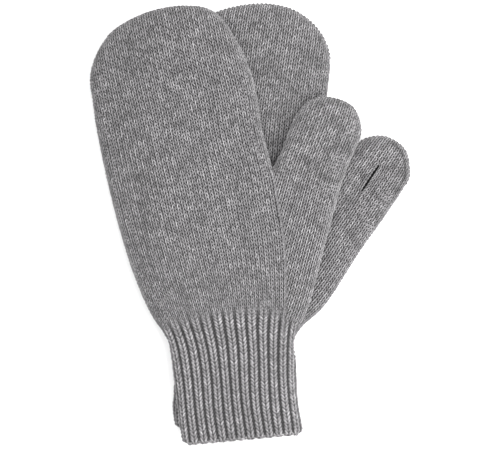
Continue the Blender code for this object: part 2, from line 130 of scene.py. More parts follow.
LEFT = {
    "name": "left",
    "up": "back",
    "down": "palm",
    "stack": STACK,
    "hand": [(-42.8, -137.2), (-45.4, -118), (-48.2, -95), (-51.5, -73.9), (-63.7, -53.3),
             (-74.3, -28.1), (-84.4, 5), (-94.2, 47), (-98.8, 75), (-100.4, 97),
             (-89.8, 118.7), (-67.4, 132.3), (-40.3, 137.4), (-20, 131.5), (-2.9, 104.3), (3.8, 83.5),
             (7.6, 60), (13.9, 35)],
    "thumb": [(13.9, 35), (20.2, 47.5), (27.5, 66), (38, 78), (50.4, 79.9), (64, 74.4),
              (69.5, 61.8), (67.2, 50.1), (58, 27.1), (46, -16.3), (37.5, -49),
              (28.9, -70.3), (29.4, -88), (30.3, -110), (33.9, -130.0)],
    "join": [(20.5, -71.6), (22.6, -40), (21.2, -8), (17.6, 15), (13.9, 35)],
    "finger_tip": ((-89.8, 118.7), (-2.9, 104.3)),
    "thumb_tip": ((27.5, 66), (67.2, 50.1)),
    "finger_corners": ((-84, 122), (-11.8, 122.5)),
    "thumb_corners": ((32.5, 73.5), (67.8, 68)),
    "thumb_lean": 20.0,
    "teeth": (0.10, 0.14),
    "dents": [(-48, -52, 10, 16, 1.4), (16, -30, 5, 40, 0.9), (33, -45, 7, 18, 0.8)],
    "seam_dent": 0.3,
    "slit_centre": (43.6, 50.0),
    # guide curves: the first and last wale of the hand, and the thumb's outer wale
    "wale_left": [(-49.5, -84), (-51.8, -74), (-63, -53), (-74, -28), (-84.5, 5),
                  (-93.5, 47), (-99.6, 75), (-105.5, 103), (-111.5, 133)],
    "wale_right": [(20, -84), (20.5, -71.6), (22.6, -40), (21.2, -8), (17.6, 15),
                   (13.9, 35), (7.6, 60), (3.2, 83.5), (-1.6, 105), (-7.2, 133), (-12, 157)],
    "thumb_wale": [(27.6, -84), (29.6, -69), (37.5, -49), (46, -16.3), (58, 27.1),
                   (67.2, 50.1), (76.5, 75), (82, 92)],
    "rib_left": [(-41.6, -146), (-42.8, -137.2), (-45.2, -118), (-47.8, -95), (-51.8, -74),
                 (-61, -54), (-68, -38)],
    "rib_right": [(33, -138), (32.1, -129.6), (29.8, -110), (28.8, -88), (29.6, -69),
                  (33.5, -52), (37, -36)],
    "rib_arc": (2.5, -58.0, 0.0036, 0.0120),
}
RIGHT = {
    "name": "right",
    "up": "palm",
    "down": "back",
    "stack": 0.0,
    "hand": [(-47.6, -127.5), (-48.8, -115), (-48.2, -98), (-50.6, -78), (-53.6, -55),
             (-55, -20), (-54.4, 25), (-52.6, 70), (-49.8, 103), (-37, 124), (-17, 135.2),
             (7.7, 139.1), (28.4, 134.8), (44, 121.5), (50.4, 104), (48.6, 80),
             (45.6, 50), (43, 20)],
    "thumb": [(43, 20), (53.5, 35), (66.5, 50), (76, 55.2), (87, 55), (97.6, 47.3),
              (100.5, 33.7), (97.6, 24.6), (85, 5.4), (69.2, -17.0), (47.9, -49.8),
              (30.9, -66.6), (27, -84), (26.3, -105), (27.6, -127.5)],
    "join": [(19.5, -71.7), (27, -48), (34, -25), (40, -2), (43, 20)],
    "finger_tip": ((-49.8, 103), (50.4, 104)),
    "thumb_tip": ((66.5, 50), (97.6, 24.6)),
    "finger_corners": ((-38.5, 122.5), (42, 124)),
    "thumb_corners": ((70.5, 53), (97.5, 44)),
    "thumb_lean": 33.5,
    "teeth": (0.36, 0.22),
    "dents": [(60, -5, 6, 20, 0.8), (17, 44, 7, 16, 2.6)],
    "seam_dent": 1.0,
    "slit_centre": (75.7, 29.4),
    "wale_left": [(-49.6, -86), (-50.6, -76), (-53.6, -55), (-55, -20), (-54.4, 25),
                  (-51.4, 70), (-46.6, 105), (-40.6, 145)],
    "wale_right": [(18.6, -86), (19.5, -71.7), (27, -48), (34, -25), (40, -2), (43, 20),
                   (45.8, 50), (49.4, 80), (54, 110), (59, 140)],
    "thumb_wale": [(25, -82), (30.9, -66.6), (48.1, -50), (69.9, -17.3), (85, 5.4),
                   (97.4, 25), (109, 43), (120, 60)],
    "rib_left": [(-47.2, -136), (-47.6, -127.5), (-48.4, -115), (-47.6, -98), (-50, -78),
                 (-52.8, -58), (-54, -42)],
    "rib_right": [(28.2, -136), (27.6, -127.5), (26.3, -105), (27, -84), (30.9, -66.6),
                  (43, -54), (55, -40)],
    "rib_arc": (-4.0, -58.0, 0.0050, 0.012),
}
MITTENS = (LEFT, RIGHT)
STEP = 0.40             # spacing of the relief's points on the upper layers
HIDDEN_STEP = 0.58      # and on the layers that face down
MOST_CELLS = 88000      # in one panel's outer face
COARSE = 4              # points of the fine grid for each point of the coarse one

# A rolled edge's quarter turn: angles, and the fabric's length up to each
TURNS = np.linspace(0.0, math.pi / 2, 300)
SPEEDS = np.hypot(ROLL * np.sin(TURNS), THICKNESS / 2 * np.cos(TURNS))
ARC = np.concatenate([[0.0], np.cumsum(SPEEDS[1:] * (TURNS[1] - TURNS[0]))])


# ---- plan curves -----------------------------------------------------------

def smooth_curve(points, steps=12):
    """A smooth curve through given points (Catmull-Rom), as many short steps."""
    pts = np.array([points[0], *points, points[-1]], float)
    t = np.linspace(0.0, 1.0, steps, endpoint=False)[:, None]
    out = []
    for a, b, c, d in zip(pts, pts[1:], pts[2:], pts[3:]):
        out.append(0.5 * (2 * b + (c - a) * t + (2 * a - 5 * b + 4 * c - d) * t ** 2
                          + (3 * b - a - 3 * c + d) * t ** 3))
    return np.vstack([*out, pts[-1:]])


def crossing(curve, line):
    """The first point where a curve crosses a fold line."""
    heights = [p[1] - (line[0] + line[1] * p[0]) for p in curve]
    for p, q, a, b in zip(curve, curve[1:], heights, heights[1:]):
        if a * b <= 0 and a != b:
            return p + (q - p) * (a / (a - b))
    raise ValueError("the curve does not cross the line")


def nearest(curve, point):
    """The index of the curve's point that is nearest to a given one."""
    return int(np.argmin(np.linalg.norm(curve - np.asarray(point, float), axis=1)))


def place_on(curve, point):
    """How many of the curve's steps lie before the place nearest to a point."""
    run = np.diff(curve, axis=0)
    share = np.sum((point - curve[:-1]) * run, axis=1) / np.maximum(np.sum(run ** 2, axis=1), 1e-9)
    share = np.clip(share, 0.0, 1.0)
    gap = np.linalg.norm(curve[:-1] + share[:, None] * run - point, axis=1)
    k = int(np.argmin(gap))
    return k + share[k]


def stretch(curve, start, end):
    """The part of a curve from one place to another, with those two as its ends."""
    i = place_on(curve, start)
    j = place_on(curve, end)
    low, high = min(i, j), max(i, j)
    inner = curve[int(low) + 1:math.ceil(high)]
    if i > j:
        inner = inner[::-1]
    away = np.linalg.norm(inner - start, axis=1) > 0.1
    away &= np.linalg.norm(inner - end, axis=1) > 0.1
    return np.vstack([[start], inner[away], [end]])


def curve_length(curve):
    """Length of a polyline."""
    return float(np.sum(np.linalg.norm(np.diff(curve, axis=0), axis=1)))


def at_shares(curve, shares):
    """Points at shares of a curve's length."""
    runs = np.linalg.norm(np.diff(curve, axis=0), axis=1)
    along = np.concatenate([[0.0], np.cumsum(runs)])
    where = np.asarray(shares) * along[-1]
    return np.column_stack([np.interp(where, along, part) for part in curve.T])


def edge_distance(points, edges):
    """Distance from each point to the outlines, and the way from them into the mitten."""
    best = np.full(len(points), np.inf)
    place = np.array(points, float)
    normal = np.zeros_like(place)
    for edge in edges:
        for a, b in zip(edge, edge[1:]):
            run = b - a
            t = np.clip((points - a) @ run / max(run @ run, 1e-12), 0.0, 1.0)
            foot = a + t[:, None] * run
            gap = np.linalg.norm(points - foot, axis=1)
            nearer = gap < best
            best[nearer] = gap[nearer]
            place[nearer] = foot[nearer]
            normal[nearer] = np.array([run[1], -run[0]]) / max(np.linalg.norm(run), 1e-9)
    clear = best > 0.3
    normal[clear] = (points - place)[clear] / best[clear][:, None]
    return best, normal


def ground(x, stack):
    """Height of what a mitten lies on: the upper one drapes off the lower one."""
    t = np.clip((x - DRAPE_FOOT) / (DRAPE_TOP - DRAPE_FOOT), 0.0, 1.0)
    rise = t * t * (3 - 2 * t)
    foot = min(DRAPE_CLEAR, stack)
    return foot + (stack - foot) * rise


def smoothstep(x, low, high):
    """0 below low, 1 above high, smooth between them."""
    t = np.clip((x - low) / (high - low), 0.0, 1.0)
    return t * t * (3 - 2 * t)


# ---- stitch coordinates ----------------------------------------------------

def ruled_inverse(points, left, right):
    """Shares (across, along) of points on the ruled band between two curves."""
    grid = np.linspace(0.0, 1.0, 400)
    lows = at_shares(left, grid)
    highs = at_shares(right, grid)
    middle = (lows + highs) / 2
    v = np.array([grid[np.argmin(np.sum((middle - p) ** 2, axis=1))] for p in points])
    u = np.full(len(points), 0.5)

    def place(u, v):
        a = np.column_stack([np.interp(v, grid, lows[:, k]) for k in (0, 1)])
        b = np.column_stack([np.interp(v, grid, highs[:, k]) for k in (0, 1)])
        return a + (b - a) * u[:, None], b - a

    for _ in range(14):
        here, du = place(u, v)
        ahead, _unused = place(u, v + 0.004)
        behind, _unused = place(u, v - 0.004)
        dv = (ahead - behind) / 0.008
        miss = points - here
        det = du[:, 0] * dv[:, 1] - du[:, 1] * dv[:, 0]
        det = np.where(np.abs(det) < 1e-6, 1e-6, det)
        u = u + np.clip((miss[:, 0] * dv[:, 1] - miss[:, 1] * dv[:, 0]) / det, -0.3, 0.3)
        v = v + np.clip((du[:, 0] * miss[:, 1] - du[:, 1] * miss[:, 0]) / det, -0.1, 0.1)
        v = np.clip(v, 0.004, 0.996)
    return u, v


def wander(points, seed):
    """A slow wobble over the plan, between about -1 and 1."""
    x, y = points.T / 10.0
    return (np.sin(0.9 * x + 0.5 * y + seed) + np.sin(0.4 * x - 1.1 * y + 2.1 * seed)
            + 0.6 * np.sin(1.9 * x + 1.4 * y + 3.7 * seed)) / 2.6


def hand_stitches(points, mitten):
    """Wale and course numbers of the hand and fingers."""
    left = smooth_curve(mitten["wale_left"])
    right = smooth_curve(mitten["wale_right"])
    u, v = ruled_inverse(points, left, right)
    length = (curve_length(left) + curve_length(right)) / 2
    return u * HAND_WALES, v * length / COURSE


def thumb_stitches(points, mitten):
    """Wale and course numbers of the thumb and its gusset."""
    outer = smooth_curve(mitten["thumb_wale"])
    tangent = np.gradient(outer, axis=0)
    tangent /= np.linalg.norm(tangent, axis=1)[:, None]
    inner = outer + THUMB_SPAN * np.column_stack([-tangent[:, 1], tangent[:, 0]])
    u, v = ruled_inverse(points, inner, outer)
    return u * THUMB_WALES, v * curve_length(outer) / COURSE


def rib_stitches(points, mitten):
    """Rib and course numbers of the cuff."""
    left = smooth_curve(mitten["rib_left"]) - np.array([RIB_MARGIN, 0.0])
    right = smooth_curve(mitten["rib_right"]) + np.array([RIB_MARGIN, 0.0])
    u, v = ruled_inverse(points, left, right)
    return u * RIBS, v * curve_length(left) / RIB_COURSE


def scatter(i, j, seed=0.0):
    """A fixed scattered value from 0 to 1 for each pair of whole numbers."""
    wave = np.sin(i * 12.9898 + j * 78.233 + seed * 37.719) * 43758.5453
    return wave - np.floor(wave)


def streak(column, row):
    """Slow change of shade along each course's yarn, 0 to 1."""
    phase = 2 * math.pi * scatter(0.0, row, 4.0)
    return 0.5 + 0.3 * np.sin(0.33 * column + phase) + 0.2 * np.sin(0.13 * column + 2 * phase)


def legs(p, c, column, leg):
    """Height of a column's stitch legs, 0 to 1, and a shade for each leg.

    p runs from -1 at the column's side to 1 at its middle line, c along it.
    """
    width, length, slant, groove = leg
    best = np.zeros_like(c)
    tone = np.zeros_like(c)
    base = np.floor(c)
    for k in (-1, 0, 1, 2):
        row = base + k
        t = c - row - LEG_NUDGE * (scatter(column, row, 1.0) - 0.5)
        rest = 1.0 - ((p + slant * t) / width) ** 2 - (t / length) ** 2
        size = 1.0 + LEG_SPREAD * (scatter(column, row, 2.0) - 0.5)
        height = np.sqrt(np.clip(rest, 0.0, 1.0)) * size + LEG_TILT * t * (rest > 0)
        shade = (1 - STREAK) * scatter(column, row, 3.0) + STREAK * streak(column, row)
        higher = height > best
        best = np.where(higher, height, best)
        tone = np.where(higher, shade, tone)
    best = best * (1.0 - groove * np.abs(p) ** 3)
    return np.clip(best, 0.0, 1.1), tone


def stockinette(w, c):
    """Relief height, 0 to 1, and shade of plain knitting."""
    a = w - np.floor(w)
    near = a < 0.5
    p = np.where(near, 4 * a - 1, 3 - 4 * a)
    column = np.floor(w) * 2 + np.where(near, 0, 1)
    return legs(p, c, column, PLAIN_LEG)


def ribbing(r, c):
    """Relief height, 0 to 1, and shade of the cuff's 1x1 rib."""
    a = r - np.floor(r)
    side = np.abs(a - 0.5) * 2
    inside = side / RIB_WIDTH
    dome = np.sqrt(np.clip(1.0 - inside ** 2, 0.0, 1.0))
    p = 1 - 2 * np.clip(inside, 0.0, 1.0)
    column = np.floor(r) * 2 + np.where(a < 0.5, 0, 1) + 500
    height, tone = legs(p, c, column, RIB_LEG)
    bump = np.clip(1 - ((1 - side) / PURL_WIDTH) ** 2, 0.0, 1.0)
    purl = PURL_LEVEL + PURL_BUMP * bump * (0.5 + 0.5 * np.cos(2 * math.pi * c))
    return np.maximum(RIB_DOME * dome + (1 - RIB_DOME) * height * (dome > 0.05), purl), tone


# ---- fabric panels ---------------------------------------------------------

def grid_shares(count):
    """Even shares from 0 to 1 for a grid of so many cells."""
    return np.linspace(0.0, 1.0, count + 1)


def coons(sides, us, vs):
    """Plan points of a patch between four curves, as an array (along, across, 2)."""
    left, right, bottom, top = sides
    lows = at_shares(bottom, us)[None, :, :]
    highs = at_shares(top, us)[None, :, :]
    lefts = at_shares(left, vs)[:, None, :]
    rights = at_shares(right, vs)[:, None, :]
    u = us[None, :, None]
    v = vs[:, None, None]
    corners = ((1 - u) * (1 - v) * lows[:, :1] + u * (1 - v) * lows[:, -1:]
               + (1 - u) * v * highs[:, :1] + u * v * highs[:, -1:])
    return (1 - u) * lefts + u * rights + (1 - v) * lows + v * highs - corners


def finer(coarse, times):
    """Values on a grid with each cell cut into times by times, read off linearly."""
    for axis in (0, 1):
        count = coarse.shape[axis] - 1
        at = np.arange(count * times + 1) / times
        low = np.minimum(at.astype(int), count - 1)
        shape = [1] * coarse.ndim
        shape[axis] = len(at)
        share = (at - low).reshape(shape)
        coarse = (np.take(coarse, low, axis=axis) * (1 - share)
                  + np.take(coarse, low + 1, axis=axis) * share)
    return coarse


def plain_share(plan, mitten):
    """How far the rib has turned into plain knitting across the cuff's arc, 0 to 1."""
    x, y = plan[..., 0], plan[..., 1]
    middle, top, fall_left, fall_right = mitten["rib_arc"]
    fall = np.where(x < middle, fall_left, fall_right)
    return smoothstep(y - (top - fall * (x - middle) ** 2), *RIB_FADE)


def fabric_fields(plan, section, mitten):
    """Relief in millimetres, shade, height and stitch numbers at plan points."""
    coarse = plan[::COARSE, ::COARSE]
    shape = coarse.shape[:2]
    flat = coarse.reshape(-1, 2)

    def numbers(rule):
        across, along = rule(flat, mitten)
        across = across + WANDER[0] * wander(flat, 1.0)
        along = along + WANDER[1] * wander(flat, 2.0)
        return tuple(finer(part.reshape(shape), COARSE) for part in (across, along))

    knit = rib = None
    if section != "cuff":
        stitch = numbers(hand_stitches if section in ("hand", "finger") else thumb_stitches)
        height, tone = stockinette(*stitch)
        knit = (STITCH_RELIEF * (height - 1), tone, height)
    if section in ("hand", "gusset", "cuff"):
        rib_stitch = numbers(rib_stitches)
        height, tone = ribbing(*rib_stitch)
        rib = (RIB_RELIEF * (height - 1), tone, height)
    if knit is None:
        return *rib, rib_stitch
    if rib is None:
        return *knit, stitch
    share = plain_share(plan, mitten)
    return *(a * (1 - share) + b * share for a, b in zip(rib, knit)), stitch


def crown_shape(plan, mitten):
    """Depth in from the edge and the way in, on a coarse grid made finer."""
    coarse = plan[::COARSE, ::COARSE]
    shape = coarse.shape[:2]
    depth, inward = edge_distance(coarse.reshape(-1, 2), mitten["edges"])
    depth = np.minimum(depth, 3 * ROLL)
    depth[depth < 0.01] = 0.0
    return finer(depth.reshape(shape), COARSE), finer(inward.reshape(*shape, 2), COARSE)


def wrapped(plan, crown):
    """Where the fabric over each plan point would lie if its rolled edge lay flat."""
    depth, inward = crown
    extra = (ARC[-1] - ROLL) * (np.minimum(depth, ROLL) / ROLL - 1)
    return plan + inward * extra[..., None]


def settling(place, mitten):
    """How far the upper layer has sunk, in millimetres: slow waves and soft dents."""
    x, y = place[..., 0], place[..., 1]
    waves = np.sin(x / 17 + y / 29 + 1.0) + np.sin(y / 21 - x / 37 + 4.0)
    sunk = 0.35 * (2 + waves)
    for cx, cy, wide, long, depth in mitten["dents"]:
        sunk = sunk + depth * np.exp(-((x - cx) / wide) ** 2 - ((y - cy) / long) ** 2)
    return sunk


def lay_out(plan, crown, shift, mitten, side):
    """World points, in millimetres, of fabric shifted out from the crowned surface."""
    depth, inward = crown
    turn = np.interp(np.clip(depth / ROLL, 0.0, 1.0) * ARC[-1], ARC, TURNS)
    moved = ROLL * (1 - np.cos(turn)) - np.minimum(depth, ROLL)
    half = THICKNESS / 2
    out = np.cos(turn) / ROLL
    up = np.sin(turn) / half
    size = np.hypot(out, up)
    out = out / size
    up = up / size
    place = plan + inward * (moved - out * (shift + EDGE_GROWTH))[..., None]
    rise = half * np.sin(turn) + up * shift
    if side > 0:
        rise = rise - np.sin(turn) * settling(place, mitten)
    z = ground(place[..., 0], mitten["stack"]) + half + side * rise
    return np.concatenate([place, z[..., None]], axis=-1)


def grid_quads(grid, keep=None):
    """A grid's cells as quads, all of them or the kept ones."""
    cells = np.stack([grid[:-1, :-1], grid[:-1, 1:], grid[1:, 1:], grid[1:, :-1]], axis=-1)
    return cells.reshape(-1, 4) if keep is None else cells[keep]


def border(grid):
    """A grid's four border lines, once round."""
    return grid[0, :], grid[:, -1], grid[-1, ::-1], grid[::-1, 0]


def rim_faces(outer, inner, step):
    """Quads and triangles between the borders of a fine grid and a coarser one."""
    quads = []
    triangles = []
    half = step // 2
    for fine, wide in zip(border(outer), border(inner)):
        for k, (a, b) in enumerate(zip(wide, wide[1:])):
            run = fine[k * step:(k + 1) * step + 1]
            if step == 1:
                quads.append((run[1], run[0], a, b))
                continue
            triangles += [(run[m + 1], run[m], a) for m in range(half)]
            triangles.append((run[half], a, b))
            triangles += [(run[m + 1], run[m], b) for m in range(half, step)]
    return quads, triangles


def hole_rims(hole, outer, inner):
    """Quads between the outer and the inner face round the cells left out."""
    around = ((-1, 0, (0, 0), (0, 1)), (1, 0, (1, 1), (1, 0)),
              (0, -1, (1, 0), (0, 0)), (0, 1, (0, 1), (1, 1)))
    quads = []
    for i, j in zip(*np.nonzero(hole)):
        for di, dj, p, q in around:
            if not hole[i + di, j + dj]:
                a = (i + p[0], j + p[1])
                b = (i + q[0], j + q[1])
                quads.append((outer[a], outer[b], inner[b], inner[a]))
    return quads


def shell_faces(rows, columns, inner_step, side, hole=None):
    """Faces of a closed shell: fine outer grid, coarser inner grid and a rim."""
    outer = np.arange((rows + 1) * (columns + 1)).reshape(rows + 1, columns + 1)
    inner = outer.size + np.arange((rows // inner_step + 1) * (columns // inner_step + 1))
    inner = inner.reshape(rows // inner_step + 1, -1)
    keep = None if hole is None else ~hole
    faces = [grid_quads(outer, keep), grid_quads(inner, keep)[:, ::-1]]
    plain = len(faces[0]) + len(faces[1])
    rims, triangles = rim_faces(outer, inner, inner_step)
    if hole is not None:
        rims += hole_rims(hole, outer, inner)
    quads = np.vstack([*faces, np.array(rims, int).reshape(-1, 4)])
    if side < 0:
        quads = quads[:, ::-1]
        triangles = [t[::-1] for t in triangles]
    return quads, triangles, outer, inner, plain


def panel_map(mesh, outer, inner, plain):
    """A map with the outer face below, the inner face above and the rim in a strip."""
    spots = np.zeros((outer.size + inner.size, 2))
    rim = np.zeros(len(spots))
    for grid, low, high in ((outer, 0.01, 0.80), (inner, 0.83, 0.97)):
        rows, columns = grid.shape
        i, j = np.meshgrid(np.linspace(0, 1, rows), np.linspace(0, 1, columns), indexing="ij")
        spots[grid] = np.stack([0.01 + 0.98 * j, low + (high - low) * i], axis=-1)
        for line, start, share in ((grid[0], 0.0, j[0]), (grid[:, -1], 0.25, i[:, -1]),
                                   (grid[-1], 0.75, -j[-1]), (grid[:, 0], 1.0, -i[:, 0])):
            rim[line] = start + 0.25 * share
    corners = np.zeros(len(mesh.loops), int)
    mesh.loops.foreach_get("vertex_index", corners)
    values = spots[corners]
    edge = np.arange(len(corners)) >= 4 * plain
    height = np.where(corners < outer.size, 0.980, 0.995)
    values[edge] = np.column_stack([0.01 + 0.98 * rim[corners], height])[edge]
    set_map(mesh, values)


def set_map(mesh, values):
    """Store a place on the texture map for each corner of a mesh."""
    layer = mesh.uv_layers.new(name="OFBake")
    layer.data.foreach_set("uv", values.astype(np.float32).ravel())


def set_layer(mesh, name, values):
    """Store one number for each point of a mesh."""
    layer = mesh.attributes.new(name, "FLOAT", "POINT")
    layer.data.foreach_set("value", np.asarray(values, np.float32))


def new_mesh_object(name, verts, faces, material):
    """A smooth-shaded object from points in millimetres."""
    mesh = bpy.data.meshes.new(name)
    mesh.from_pydata((np.asarray(verts) * MM).tolist(), [], faces)
    mesh.shade_smooth()
    obj = bpy.data.objects.new(name, mesh)
    bpy.context.scene.collection.objects.link(obj)
    obj.data.materials.append(material)
    return obj


def sharpen_rim(mesh, outer):
    """Keep the shading of a panel's face apart from that of its cut edge."""
    on_rim = np.zeros(len(mesh.vertices), bool)
    on_rim[np.concatenate(border(outer))] = True
    ends = np.zeros(len(mesh.edges) * 2, int)
    mesh.edges.foreach_get("vertices", ends)
    sharp = on_rim[ends.reshape(-1, 2)].all(axis=1)
    layer = mesh.attributes.new("sharp_edge", "BOOLEAN", "EDGE")
    layer.data.foreach_set("value", sharp)


def thumb_axes(mitten):
    """Unit vectors along the thumb and across it, towards its outer side."""
    lean = math.radians(mitten["thumb_lean"])
    return np.array([math.sin(lean), math.cos(lean)]), np.array([math.cos(lean), -math.sin(lean)])


def slit_opening(plan, mitten):
    """Plan points moved apart along the thumb's slit, and the cells it leaves out."""
    along, across = thumb_axes(mitten)
    offset = plan - np.array(mitten["slit_centre"])
    s = offset @ along
    e = offset @ across
    half = SLIT_LENGTH / 2
    row = np.argmin(np.abs(s[:, plan.shape[1] // 2]))
    column = int(np.argmin(np.abs(e[row])))
    e = e - (e[:, column:column + 1] + e[:, column + 1:column + 2]) / 2
    spread = SLIT_OPEN * np.sqrt(np.clip(1 - (s / half) ** 6, 0.0, 1.0))
    reach = smoothstep(SLIT_REACH - np.abs(e), 0.0, SLIT_REACH)
    plan = plan + across * (np.sign(e) * spread * reach)[..., None]
    hole = np.zeros((plan.shape[0] - 1, plan.shape[1] - 1), bool)
    rows = np.nonzero(np.abs(s[:, column]) < half - 0.5)[0]
    hole[rows[0]:rows[-1], column] = True
    return plan, hole


def join_crease(plan, relief, height, mitten):
    """Relief that settles to one level along the line where hand and thumb meet, with painted shade
    along it.
    """
    coarse = plan[::COARSE, ::COARSE]
    gap = edge_distance(coarse.reshape(-1, 2), [mitten["join_line"]])[0]
    gap = finer(gap.reshape(coarse.shape[:2]), COARSE)
    share = smoothstep(gap, 0.0, CREASE)
    level, shade = CREASE_LEVEL
    return relief * share + level * (1 - share), height * share + shade * (1 - share)


def seam_groove(plan, depth, relief, height, mitten):
    """The dent beside the linked edge, with painted shade in it, strongest round the outer side of a
    thumb's tip.
    """
    along, across = thumb_axes(mitten)
    offset = plan - np.array(mitten["slit_centre"])
    near = smoothstep(offset @ along, -6.0, 6.0) * smoothstep(offset @ across, -6.0, 4.0)
    inset, width, sink, dent_shade = SEAM_DENT
    dent = near * mitten["seam_dent"] * np.exp(-((depth - inset) / width) ** 2)
    return relief - sink * dent, height * (1 - dent_shade * dent)


def scalloped(plan, crown, ribs, up):
    """Plan points near the cuff's hem, moved so that each rib ends in a scallop.

    The hem's two corners are rounded as well. up is the distance from the hem.
    """
    side = 2 * np.abs(ribs - np.floor(ribs) - 0.5)
    drop = SCALLOP * (np.sqrt(np.clip(1 - side ** 2, 0, 1)) - 0.5) * np.exp(-up / SCALLOP_FADE)
    rounding = 1 - np.sqrt(1 - (1 - np.minimum(up / CORNER, 1)) ** 2)
    rounding = CORNER * rounding * (1 - np.minimum(crown[0] / ROLL, 1))
    return plan - np.array([0.0, 1.0]) * drop[..., None] + crown[1] * rounding[..., None]


def hem_relief(relief, height, up):
    """Relief of the cuff's two faces, both rounded off towards the hem."""
    depth, reach = HEM_ROUND
    round_off = depth * (1 - np.sqrt(np.clip(1 - (1 - np.clip(up / reach, 0, 1)) ** 2, 0, 1)))
    inner = HEM_INSIDE * (1 - height) * smoothstep(up, 0.0, 3.0) + round_off
    return relief - round_off, inner


def fabric_panel(name, section, sides, mitten, side, step, material):
    """One knitted panel as a closed shell."""
    left, right, bottom, top = sides
    wide = max(curve_length(bottom), curve_length(top))
    long = max(curve_length(left), curve_length(right))
    step = max(step, math.sqrt(wide * long / MOST_CELLS))
    columns = COARSE * max(2, round(wide / step / COARSE))
    rows = COARSE * max(2, round(long / step / COARSE))
    plan = coons(sides, grid_shares(columns), grid_shares(rows))
    crown = crown_shape(plan, mitten)
    relief, tone, height, stitch = fabric_fields(wrapped(plan, crown), section, mitten)
    slit = section == "thumb" and mitten["up" if side > 0 else "down"] == "palm"
    inner_step = 1 if slit or section == "cuff" else COARSE
    hole = None
    wall = WALL
    inner_relief = np.zeros_like(relief)
    if slit:
        plan, hole = slit_opening(plan, mitten)
    if section in ("hand", "gusset"):
        relief, height = join_crease(plan, relief, height, mitten)
    if section == "thumb":
        relief, height = seam_groove(plan, crown[0], relief, height, mitten)
    if section == "cuff":
        wall = CUFF_WALL
        up = grid_shares(rows)[:, None] * curve_length(left)
        plan = scalloped(plan, crown, stitch[0], up)
        relief, inner_relief = hem_relief(relief, height, up)
    outer_points = lay_out(plan, crown, relief, mitten, side)
    inner_points = lay_out(plan, crown, -inner_relief - wall, mitten, side)
    inner_points = inner_points[::inner_step, ::inner_step]
    quads, triangles, outer, inner, plain = shell_faces(rows, columns, inner_step, side, hole)
    verts = np.vstack([outer_points.reshape(-1, 3), inner_points.reshape(-1, 3)])
    obj = new_mesh_object(name, verts, quads.tolist() + triangles, material)
    sharpen_rim(obj.data, outer)
    inner_tone = tone[::inner_step, ::inner_step]
    # painted shade on the inner face: a made-up height from its tone, darkened by the crevice ramp
    inner_height = 0.35 + 0.3 * inner_tone
    set_layer(obj.data, "tone", np.concatenate([tone.ravel(), inner_tone.ravel()]))
    # the stitch height also sets the painted crevice shade in the material
    set_layer(obj.data, "height", np.concatenate([height.ravel(), inner_height.ravel()]))
    panel_map(obj.data, outer, inner, plain)
    return obj


def thumb_root(mitten, thumb, crotch):
    """The point of the thumb's outer side level with the crotch."""
    along, across = thumb_axes(mitten)
    offsets = (thumb - crotch) @ along
    reach = (thumb - crotch) @ across
    for i in range(len(thumb) - 1):
        if reach[i] > OUTER_REACH and offsets[i] * offsets[i + 1] <= 0:
            return thumb[i] + (thumb[i + 1] - thumb[i]) * offsets[i] / (offsets[i] - offsets[i + 1])
    raise ValueError("the thumb has no outer side")


def mitten_sides(mitten):
    """The four curves round each section of a mitten: left, right, bottom, top."""
    hand = mitten["hand_edge"]
    thumb = mitten["thumb_edge"]
    join = mitten["join_line"]
    crotch = thumb[0]
    knuckle_left = crossing(hand, KNUCKLE)
    knuckle_right = crossing(hand[::-1], KNUCKLE)
    wrist_left = crossing(hand, WRIST)
    wrist_join = crossing(join, WRIST)
    wrist_right = crossing(thumb[::-1], WRIST)
    join_up = stretch(join, wrist_join, crotch)
    inner_edge = stretch(hand, crotch, knuckle_right)
    root = thumb_root(mitten, thumb, crotch)
    finger_a, finger_b = (hand[nearest(hand, p)] for p in mitten["finger_corners"])
    thumb_a, thumb_b = (thumb[nearest(thumb, p)] for p in mitten["thumb_corners"])

    def line(p, q):
        return np.array([p, q])

    return {
        "hand": (stretch(hand, wrist_left, knuckle_left),
                 np.vstack([join_up, inner_edge[1:]]),
                 line(wrist_left, wrist_join), line(knuckle_left, knuckle_right)),
        "finger": (stretch(hand, knuckle_left, finger_a), stretch(hand, knuckle_right, finger_b),
                   line(knuckle_left, knuckle_right), stretch(hand, finger_a, finger_b)),
        "gusset": (join_up, stretch(thumb, wrist_right, root),
                   line(wrist_join, wrist_right), line(crotch, root)),
        "thumb": (stretch(thumb, crotch, thumb_a), stretch(thumb, root, thumb_b),
                  line(crotch, root), stretch(thumb, thumb_a, thumb_b)),
        "cuff": (stretch(hand, hand[0], wrist_left), stretch(thumb, thumb[-1], wrist_right),
                 line(hand[0], thumb[-1]), line(wrist_left, wrist_right)),
    }


# ---- trims -----------------------------------------------------------------

def frames_along(path):
    """Two unit vectors across a path at each of its points, without twist."""
    tangent = np.gradient(path, axis=0)
    tangent /= np.maximum(np.linalg.norm(tangent, axis=1), 1e-9)[:, None]
    normal = np.cross(tangent[0], (0.31, 0.17, 0.93))
    normals = []
    for t in tangent:
        normal = normal - t * (normal @ t)
        normal = normal / np.linalg.norm(normal)
        normals.append(normal)
    normals = np.array(normals)
    return normals, np.cross(tangent, normals)


